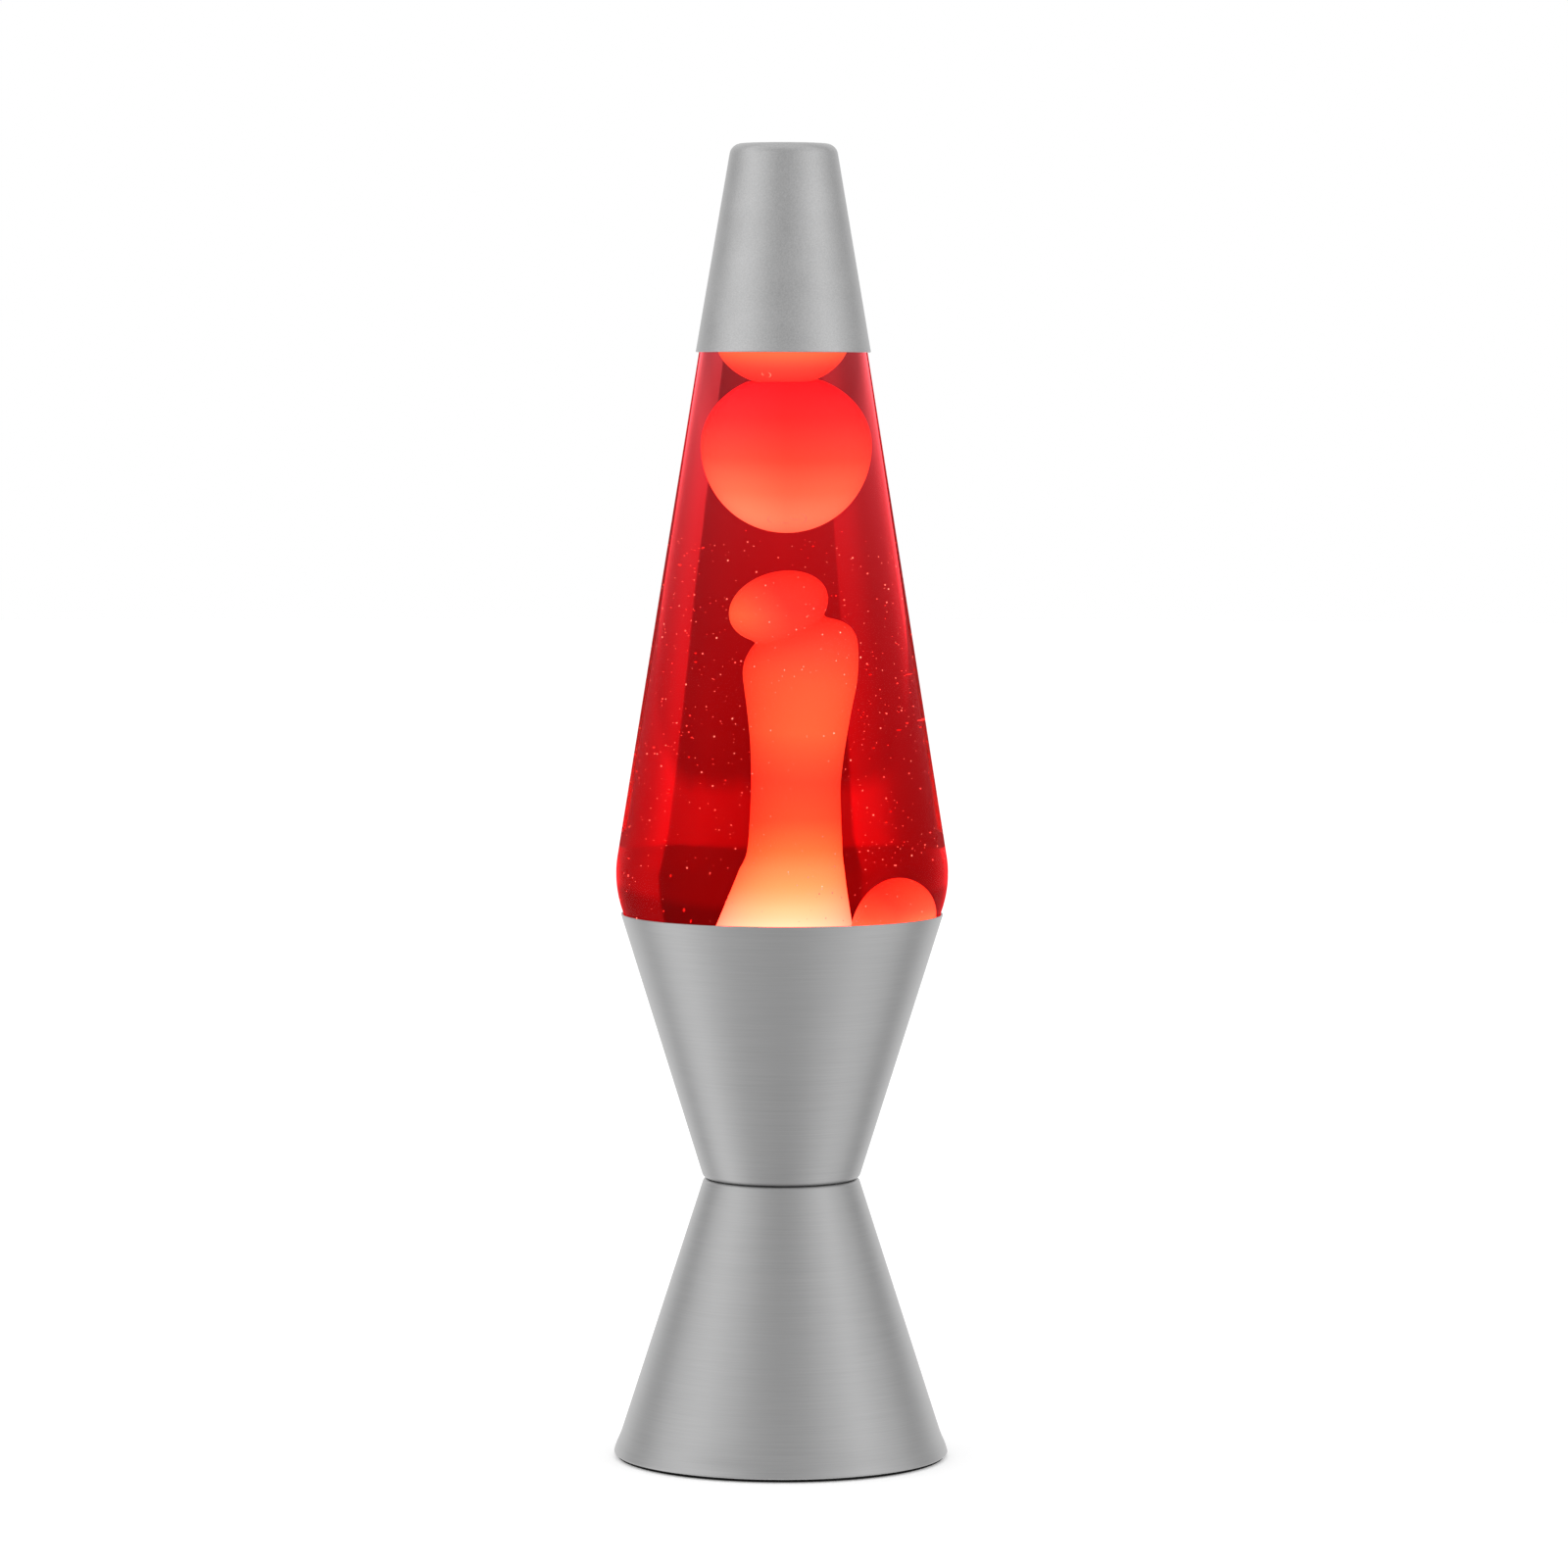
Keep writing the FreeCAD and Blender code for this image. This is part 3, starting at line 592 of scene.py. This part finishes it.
# hair-thin emissive curls on the front of the ball and of the top blob: painted highlights standing for light caught in
# trapped bubbles
def curl(centre, radii, at, r, a0, a1, tube=0.11):
    """A thin arc lying on the front of an ovoid (x, z in mm)."""
    verts, faces, n, m = [], [], 20, 8
    path = []
    for i in range(n + 1):
        a = math.radians(a0 + (a1 - a0) * i / n)
        x, z = at[0] + r * math.cos(a), at[1] + 0.8 * r * math.sin(a)
        q = 1 - ((x - centre[0]) / radii[0]) ** 2 - ((z - centre[1]) / radii[1]) ** 2
        path.append(Vector((x, -radii[0] * math.sqrt(max(q, 0.0)) - 0.03, z)))
    for i, c in enumerate(path):
        t = (path[min(i + 1, n)] - path[max(i - 1, 0)]).normalized()
        u = t.cross(Vector((0, 1, 0))).normalized()
        w = t.cross(u)
        rr = tube * (0.15 + 0.85 * math.sin(math.pi * (i + 0.001) / (n + 0.002)))
        verts += [(c + (u * math.cos(2 * math.pi * k / m) + w * math.sin(2 * math.pi * k / m)) * rr) * MM for k in range(m)]
    for i in range(n):
        faces += [(i * m + k, i * m + (k + 1) % m, (i + 1) * m + (k + 1) % m, (i + 1) * m + k) for k in range(m)]
    faces += [tuple(range(m))[::-1], tuple(range(n * m, (n + 1) * m))]
    return verts, faces


def curls(name, arcs):
    V, F = [], []
    for arc in arcs:
        v, f = curl(*arc)
        F += [tuple(len(V) + i for i in t) for t in f]
        V += v
    return new_object(name, V, F, None)


CURL = Mat("wax_curl_painted_highlight")
cn = CURL.noise(CURL.scaled(1, 1, 1), 200.0, 1.0)
CURL.link(CURL.mix(CURL.map(cn, 0.3, 0.7, 0, 1), (1.0, 0.42, 0.24), (1.0, 0.52, 0.32)), CURL.p.inputs["Emission Color"])
# painted highlight: the curls emit light
CURL.set(Base_Color=(0.6, 0.2, 0.12), Roughness=0.5, Emission_Strength=1.9)
ball_c, ball_r = (0.7, 282.5), (17.6, 23.9)
ball_curls = curls("wax_ball_curls", [(ball_c, ball_r, (-1.9, 263.0), 1.5, 120, 250), (ball_c, ball_r, (0.9, 262.6), 1.0, 200, 300),
                                      (ball_c, ball_r, (3.2, 263.2), 2.1, -70, 75), (ball_c, ball_r, (3.0, 264.0), 1.4, 190, 320)])
blob_curls = curls("wax_top_curls", [((-0.2, 313.2), (13.9, 13.6), (-3.9, 303.0), 1.0, -60, 70), ((-0.2, 313.2), (13.9, 13.6), (-4.2, 303.5), 0.7, 160, 260)])
for o, n, b in ((ball_curls, "wax_ball", "floating_wax"), (blob_curls, "wax_top_blob", "globe")):
    o.data.materials.append(CURL.m)
    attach(o, b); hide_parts(n)

# painted light: the wax emits the bulb's light, from yellow-white at the column's foot to red at the ball and top blob;
# the column also gets painted shade away from the axis and a brighter left side above 226 mm, the mound a brighter
# inner side, the ball a lighter left flank
WAX_COLUMN = wax_painted_glow("wax_molten_column_painted_glow", [
    (147, (14.0, 12.0, 6.8)),
    (153, (13.0, 12.3, 6.5)),
    (158, (12.2, 11.7, 4.4)),
    (162, (9.6, 9.1, 2.45)),
    (170, (5.5, 4.43, 0.94)),
    (179, (3.4, 1.84, 0.51)),
    (190, (2.4, 1.18, 0.41)),
    (203, (2.2, 1.64, 0.46)),
    (217, (1.9, 0.97, 0.31)),
    (228, (1.7, 0.50, 0.225)),
    (238, (1.6, 0.253, 0.146)),
    (250, (1.5, 0.233, 0.125)),
], 1.12, 0.88, 0.0, (19, 34, [(0.0, (1, 1, 1)), (0.5, (0.35, 0.05, 0.06)), (1.0, (0.06, 0.01, 0.01))]), (226, 236, 1.6, 0.002))
WAX_MOUND = wax_painted_glow("wax_molten_mound_painted_glow", [
    (138, (9.0, 5.0, 1.9)),
    (146, (6.0, 2.6, 0.85)),
    (151, (4.6, 1.1, 0.38)),
    (157, (3.2, 0.47, 0.19)),
    (162, (2.6, 0.42, 0.15)),
    (170, (2.6, 0.42, 0.15)),
], 1.0, 1.0, 0.0, None, (130, 136, 0.75, 0.0265))
WAX_BALL = wax_painted_glow("wax_molten_ball_painted_glow", [
    (258, (1.8, 1.32, 0.585)),
    (263, (1.7, 0.966, 0.426)),
    (270.6, (1.5, 0.40, 0.172)),
    (280, (1.35, 0.133, 0.069)),
    (290.9, (1.3, 0.055, 0.052)),
    (299.6, (1.3, 0.056, 0.079)),
    (304, (1.3, 0.056, 0.079)),
], 1.3, 0.7, 0.35)
WAX_TOP = wax_painted_glow("wax_molten_top_painted_glow", [
    (301, (1.3, 0.136, 0.095)),
    (305, (1.3, 0.19, 0.108)),
    (309, (1.3, 0.367, 0.135)),
    (320, (1.3, 0.367, 0.135)),
], 1.1, 0.9)
for o, n, b, m in ((wax_main, "wax_column", "globe", WAX_COLUMN), (mound, "wax_column", "globe", WAX_MOUND), (blob, "wax_top_blob", "globe", WAX_TOP), (ball, "wax_ball", "floating_wax", WAX_BALL)):
    o.data.materials.clear()
    o.data.materials.append(m)
    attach(o, b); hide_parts(n)

# ------------------------------------------------------------------ kept CAD pieces get their materials
KEPT = {
    "cord_bushing": moulded("bushing_plastic", (0.02, 0.02, 0.021), 0.5),
    "foot_ring": moulded("foot_rubber", (0.004, 0.004, 0.004), 0.8, 1200, 0.3, 0.08),
    "bottom_cover": moulded("cover_plastic", (0.018, 0.018, 0.019), 0.55, 700, 0.4),
    "socket_housing": moulded("socket_phenolic", (0.035, 0.022, 0.016), 0.38, 500, 0.1),
    "fibre_washer": moulded("washer_fibre", (0.32, 0.17, 0.10), 0.85, 1500, 0.6, 0.2),
    "lock_washer": plain_metal("zinc_plate", (0.58, 0.58, 0.55), 0.35),
    "ring_nut": plain_metal("zinc_nut", (0.58, 0.58, 0.55), 0.3),
    "socket_shell": plain_metal("shell_brass", (0.75, 0.55, 0.26), 0.28),
    "centre_contact": plain_metal("contact_brass", (0.78, 0.58, 0.28), 0.25),
    "contact_rivet": plain_metal("rivet_brass", (0.70, 0.52, 0.25), 0.35),
    "terminal_screws": plain_metal("screw_brass", (0.74, 0.55, 0.27), 0.3),
    "bulb_tip": plain_metal("solder_tin", (0.50, 0.50, 0.51), 0.45),
    "bulb_insulator": moulded("vitrite_black", (0.01, 0.01, 0.012), 0.15, 300, 0.05),
    "bulb_screw_shell": plain_metal("bulb_nickel", (0.68, 0.66, 0.62), 0.22),
    "bulb_leads": plain_metal("lead_wire", (0.45, 0.43, 0.40), 0.4),
    "wire_coil": plain_metal("coil_steel", (0.55, 0.55, 0.54), 0.3),
    "crown_cap": plain_metal("crown_tinplate", (0.72, 0.58, 0.30), 0.3),
    "crown_liner": moulded("liner_soft", (0.75, 0.75, 0.72), 0.6),
}
for n, m in KEPT.items():
    for s in NODES[n].material_slots:
        s.material = m
bulbm = Mat("bulb_clear_glass")
bulbm.bump(bulbm.noise(bulbm.scaled(1, 1, 1), 80.0), 0.02, 0.0003)
bulbm.set(Base_Color=(1.0, 0.99, 0.97), Roughness=0.0, IOR=1.5)
bulbm.p.inputs["Transmission Weight"].default_value = 1.0
for n in ("bulb_glass", "bulb_stem"):
    for s in NODES[n].material_slots:
        s.material = bulbm.m
fil = Mat("filament_glow")
g = fil.noise(fil.scaled(1, 1, 1), 900.0, 2.0)
fil.link(fil.mix(fil.map(g, 0.3, 0.7, 0, 1), (1.0, 0.62, 0.28), (1.0, 0.78, 0.5)), fil.p.inputs["Emission Color"])
fil.set(Base_Color=(0.3, 0.25, 0.2), Roughness=0.5, Emission_Strength=60.0)
for s in NODES["filament"].material_slots:
    s.material = fil.m

# ------------------------------------------------------------------ stage
bpy.context.scene.view_settings.view_transform = "Standard"
bpy.context.scene.view_settings.look = "None"

world = bpy.data.worlds.new("studio")
bpy.context.scene.world = world
world.use_nodes = True
wt = world.node_tree
bg = wt.nodes["Background"]
wc = wt.nodes.new("ShaderNodeTexCoord")
ws = wt.nodes.new("ShaderNodeSeparateXYZ")
wt.links.new(wc.outputs["Generated"], ws.inputs[0])
neg = wt.nodes.new("ShaderNodeMath"); neg.operation = "MULTIPLY"; neg.inputs[1].default_value = -1.0
wt.links.new(ws.outputs["Y"], neg.inputs[0])
az = wt.nodes.new("ShaderNodeMath"); az.operation = "ARCTAN2"
wt.links.new(ws.outputs["X"], az.inputs[0]); wt.links.new(neg.outputs[0], az.inputs[1])
azr = wt.nodes.new("ShaderNodeMapRange")
azr.inputs["From Min"].default_value, azr.inputs["From Max"].default_value = -math.pi, math.pi
wt.links.new(az.outputs[0], azr.inputs["Value"])
ramp = wt.nodes.new("ShaderNodeValToRGB")
# soft side boxes: brightness by compass angle in degrees, 0 on the camera's side
SKY = [(-180, 1.0), (-150, 0.98), (-118, 0.66), (-92, 1.05), (-62, 1.50), (-42, 1.42), (-17, 0.84), (0, 0.67), (15, 0.78),
       (40, 1.18), (62, 1.46), (90, 0.98), (118, 0.64), (150, 0.98), (180, 1.0)]
# higher up and below the table's edge the side boxes stand further round
SKY_FAR = [(-180, 1.0), (-146, 1.05), (-122, 0.74), (-103, 1.27), (-86, 1.36), (-68, 1.04), (-45, 0.79), (-22, 0.74), (0, 0.68),
           (22, 0.74), (45, 0.92), (70, 1.14), (94, 1.08), (122, 0.62), (146, 1.0), (180, 1.0)]
cr = ramp.color_ramp
cr.interpolation = "EASE"
while len(cr.elements) < len(SKY):
    cr.elements.new(0.5)
for e, (deg, v) in zip(cr.elements, SKY):
    e.position = (deg + 180) / 360
    e.color = (v / 2, v / 2, v / 2, 1)
ramp2 = wt.nodes.new("ShaderNodeValToRGB")
cr = ramp2.color_ramp
cr.interpolation = "EASE"
while len(cr.elements) < len(SKY_FAR):
    cr.elements.new(0.5)
for e, (deg, v) in zip(cr.elements, SKY_FAR):
    e.position = (deg + 180) / 360
    e.color = (v / 2, v / 2, v / 2, 1)
wt.links.new(azr.outputs[0], ramp2.inputs["Fac"])
high = wt.nodes.new("ShaderNodeMapRange"); high.interpolation_type = "SMOOTHSTEP"
high.inputs["From Min"].default_value, high.inputs["From Max"].default_value = 0.35, 0.48
wt.links.new(ws.outputs["Z"], high.inputs["Value"])
low = wt.nodes.new("ShaderNodeMapRange"); low.interpolation_type = "SMOOTHSTEP"
low.inputs["From Min"].default_value, low.inputs["From Max"].default_value = 0.10, -0.06
wt.links.new(ws.outputs["Z"], low.inputs["Value"])
both = wt.nodes.new("ShaderNodeMath"); both.operation = "ADD"; both.use_clamp = True
wt.links.new(high.outputs[0], both.inputs[0]); wt.links.new(low.outputs[0], both.inputs[1])
sky = wt.nodes.new("ShaderNodeMix"); sky.data_type = "RGBA"
wt.links.new(both.outputs[0], sky.inputs[0]); wt.links.new(ramp.outputs["Color"], sky.inputs[6]); wt.links.new(ramp2.outputs["Color"], sky.inputs[7])
wt.links.new(azr.outputs[0], ramp.inputs["Fac"])
# overhead the room is evenly bright
up = wt.nodes.new("ShaderNodeMapRange"); up.interpolation_type = "SMOOTHSTEP"
up.inputs["From Min"].default_value, up.inputs["From Max"].default_value = 0.72, 0.95
wt.links.new(ws.outputs["Z"], up.inputs["Value"])
under = wt.nodes.new("ShaderNodeMapRange"); under.interpolation_type = "SMOOTHSTEP"
under.inputs["From Min"].default_value, under.inputs["From Max"].default_value = -0.90, -0.98
wt.links.new(ws.outputs["Z"], under.inputs["Value"])
table = wt.nodes.new("ShaderNodeMix"); table.data_type = "RGBA"      # the lit table seen straight below
table.inputs[7].default_value = (0.75, 0.75, 0.75, 1)
wt.links.new(under.outputs[0], table.inputs[0]); wt.links.new(sky.outputs[2], table.inputs[6])
over = wt.nodes.new("ShaderNodeMix"); over.data_type = "RGBA"
wt.links.new(up.outputs[0], over.inputs[0]); wt.links.new(table.outputs[2], over.inputs[6])
over.inputs[7].default_value = (0.5, 0.5, 0.5, 1)
# the backdrop itself is plain white from every side
lp = wt.nodes.new("ShaderNodeLightPath")
plain = wt.nodes.new("ShaderNodeMix"); plain.data_type = "RGBA"
wt.links.new(lp.outputs["Is Camera Ray"], plain.inputs[0]); wt.links.new(over.outputs[2], plain.inputs[6])
plain.inputs[7].default_value = (0.5, 0.5, 0.5, 1)
wt.links.new(plain.outputs[2], bg.inputs["Color"])
bg.inputs["Strength"].default_value = 2.0

bm = bmesh.new()
bmesh.ops.create_circle(bm, cap_ends=True, segments=96, radius=6.0)
fm = bpy.data.meshes.new("floor")
bm.to_mesh(fm); bm.free()
floor = bpy.data.objects.new("floor", fm)
bpy.context.scene.collection.objects.link(floor)
floor.location.z = -0.0002
fl = Mat("floor_pale")
fg = fl.noise(fl.scaled(1, 1, 1), 6.0, 2.0)
fl.link(fl.mix(fl.map(fg, 0.3, 0.7, 0, 1), (0.79, 0.79, 0.79), (0.81, 0.81, 0.81)), fl.p.inputs["Base Color"])
fl.set(Roughness=0.9, Emission_Strength=0.30)
fl.p.inputs["Emission Color"].default_value = (1, 1, 1, 1)
fl.p.inputs["Specular IOR Level"].default_value = 0.1
floor.data.materials.append(fl.m)
floor.visible_glossy = False


def softbox(name, az, el, dist, w, h, power, target=(0, 0, 0.19)):
    """Area light at azimuth az (degrees, 0 = camera side, + to the right) aimed at the lamp."""
    ld = bpy.data.lights.new(name, "AREA")
    ld.shape, ld.size, ld.size_y, ld.energy = "RECTANGLE", w, h, power
    ob = bpy.data.objects.new(name, ld)
    bpy.context.scene.collection.objects.link(ob)
    a, e = math.radians(az), math.radians(el)
    t = Vector(target)
    pos = t + Vector((math.sin(a) * math.cos(e), -math.cos(a) * math.cos(e), math.sin(e))) * dist
    ob.location = pos
    ob.rotation_euler = (t - pos).to_track_quat("-Z", "Y").to_euler()
    ob.visible_glossy = ob.visible_transmission = False
    return ob


softbox("box_top", 0, 89, 3.0, 4.5, 4.5, 20.0)


# a curved bounce panel close behind the lamp, seen only through the liquid. Brightness by compass angle,
# 0 straight behind and + to the right: first level with the globe, then low down near the table
PANEL_HIGH = [(-96, 1.0), (-91, 1.1), (-85, 3.9), (-65, 2.95), (-57, 1.95), (-54, 1.6), (-49, 1.4), (-42, 1.1), (-38, 0.98), (-31, 0.92), (-27, 0.92), (-24, 1.0),
              (-21.5, 1.15), (-19, 1.3), (-16.7, 1.4), (-13.4, 1.5), (-12.9, 1.05), (0, 1.22), (15, 0.95), (24.6, 0.72), (25.2, 1.6),
              (28, 1.55), (31, 1.5), (35, 1.35), (42, 1.12), (49, 1.15), (57, 1.7), (65, 3.1), (85, 4.0), (91, 1.1), (96, 1.0)]
PANEL_MID = [(-96, 1.0), (-91, 1.1), (-85, 4.0), (-65, 3.3), (-57, 2.1), (-54, 1.5), (-49, 1.35), (-42, 1.1), (-38, 0.98), (-31, 0.98), (-27, 1.0), (-24, 1.1),
             (-21.5, 1.25), (-19, 1.4), (-16.7, 1.6), (-13.4, 1.9), (-12.9, 1.0), (0, 1.0), (15, 1.05), (24.6, 0.8), (25.2, 1.85),
             (28, 1.75), (31, 1.6), (35, 1.35), (42, 1.12), (49, 1.15), (57, 1.5), (65, 1.95), (85, 2.2), (91, 1.1), (96, 1.0)]
PANEL_LOW = [(-96, 1.0), (-91, 1.1), (-85, 0.9), (-54, 0.86), (-42, 0.9), (-35, 0.96), (-31, 1.03), (-27, 1.2), (-24, 1.56), (-21.5, 1.95), (-19, 2.3),
             (-15, 2.75), (-13.4, 3.0), (-12.9, 1.7), (0, 1.7), (15, 2.0), (24.6, 1.5), (25.2, 2.7), (28, 2.5), (31, 2.15), (35, 1.75),
             (38, 1.5), (42, 1.4), (49, 1.2), (57, 1.05), (85, 0.95), (91, 0.97), (96, 1.0)]
verts, faces, N, RAD = [], [], 48, 0.55
for i in range(N + 1):
    a = math.radians(-96 + 192 * i / N)
    for z in (0.001, 0.55):
        verts.append((RAD * math.sin(a), RAD * math.cos(a), z))
for i in range(N):
    faces.append((2 * i, 2 * i + 2, 2 * i + 3, 2 * i + 1))
panel = new_object("bounce_panel", verts, faces, None)
k = Mat("bounce_panel_white")
sp = k.n("SeparateXYZ")
k.link(k.tc.outputs["Object"], sp.inputs[0])
turn = k.math("MULTIPLY", k.math("ARCTAN2", sp.outputs["X"], sp.outputs["Y"]), k.map(sp.outputs["Z"], 0.085, 0.135, 1.065, 1.0))
ang = k.map(turn, math.radians(-96), math.radians(96), 0.0, 1.0)
rag = k.noise(k.scaled(1, 1, 1), 38.0, 4.0, 0.6)
ang = k.math("ADD", ang, k.math("MULTIPLY", k.math("SUBTRACT", rag, 0.5), 0.009))
hi = k.ramp(ang, [((d + 96) / 192, (v / 4, v / 4, v / 4)) for d, v in PANEL_HIGH])
lo = k.ramp(ang, [((d + 96) / 192, (v / 4, v / 4, v / 4)) for d, v in PANEL_LOW])
md = k.ramp(ang, [((d + 96) / 192, (v / 4, v / 4, v / 4)) for d, v in PANEL_MID])
hi = k.mix(k.map(sp.outputs["Z"], 0.11, 0.135, 1.0, 0.0), hi, md)
step = k.math("ADD", sp.outputs["Z"], k.math("MULTIPLY", k.math("SUBTRACT", rag, 0.5), 0.007))
step = k.math("SUBTRACT", step, k.map(k.math("ABSOLUTE", turn), math.radians(8), math.radians(25), 0.013, 0.0))
lit = k.mix(k.map(step, 0.071, 0.079, 1.0, 0.0), hi, lo)
k.link(k.mix(1.0, lit, k.map(sp.outputs["Z"], 0.185, 0.21, 1.0, 0.66), "MULTIPLY"), k.p.inputs["Emission Color"])
k.set(Base_Color=(0.0, 0.0, 0.0), Emission_Strength=4.0, Roughness=1.0)
panel.data.materials.append(k.m)
panel.visible_camera = panel.visible_diffuse = panel.visible_glossy = panel.visible_shadow = False

# camera at the photograph's viewing angle
cd = bpy.data.cameras.new("camera")
cd.sensor_width, cd.lens = 36.0, 147.375
cd.clip_start, cd.clip_end = 0.05, 50
cam = bpy.data.objects.new("camera", cd)
bpy.context.scene.collection.objects.link(cam)
cam.location = (0.0002, -1.7939, 0.3058)
cam.rotation_euler = (math.radians(90 - 3.7125), math.radians(-0.134), 0)
bpy.context.scene.camera = cam
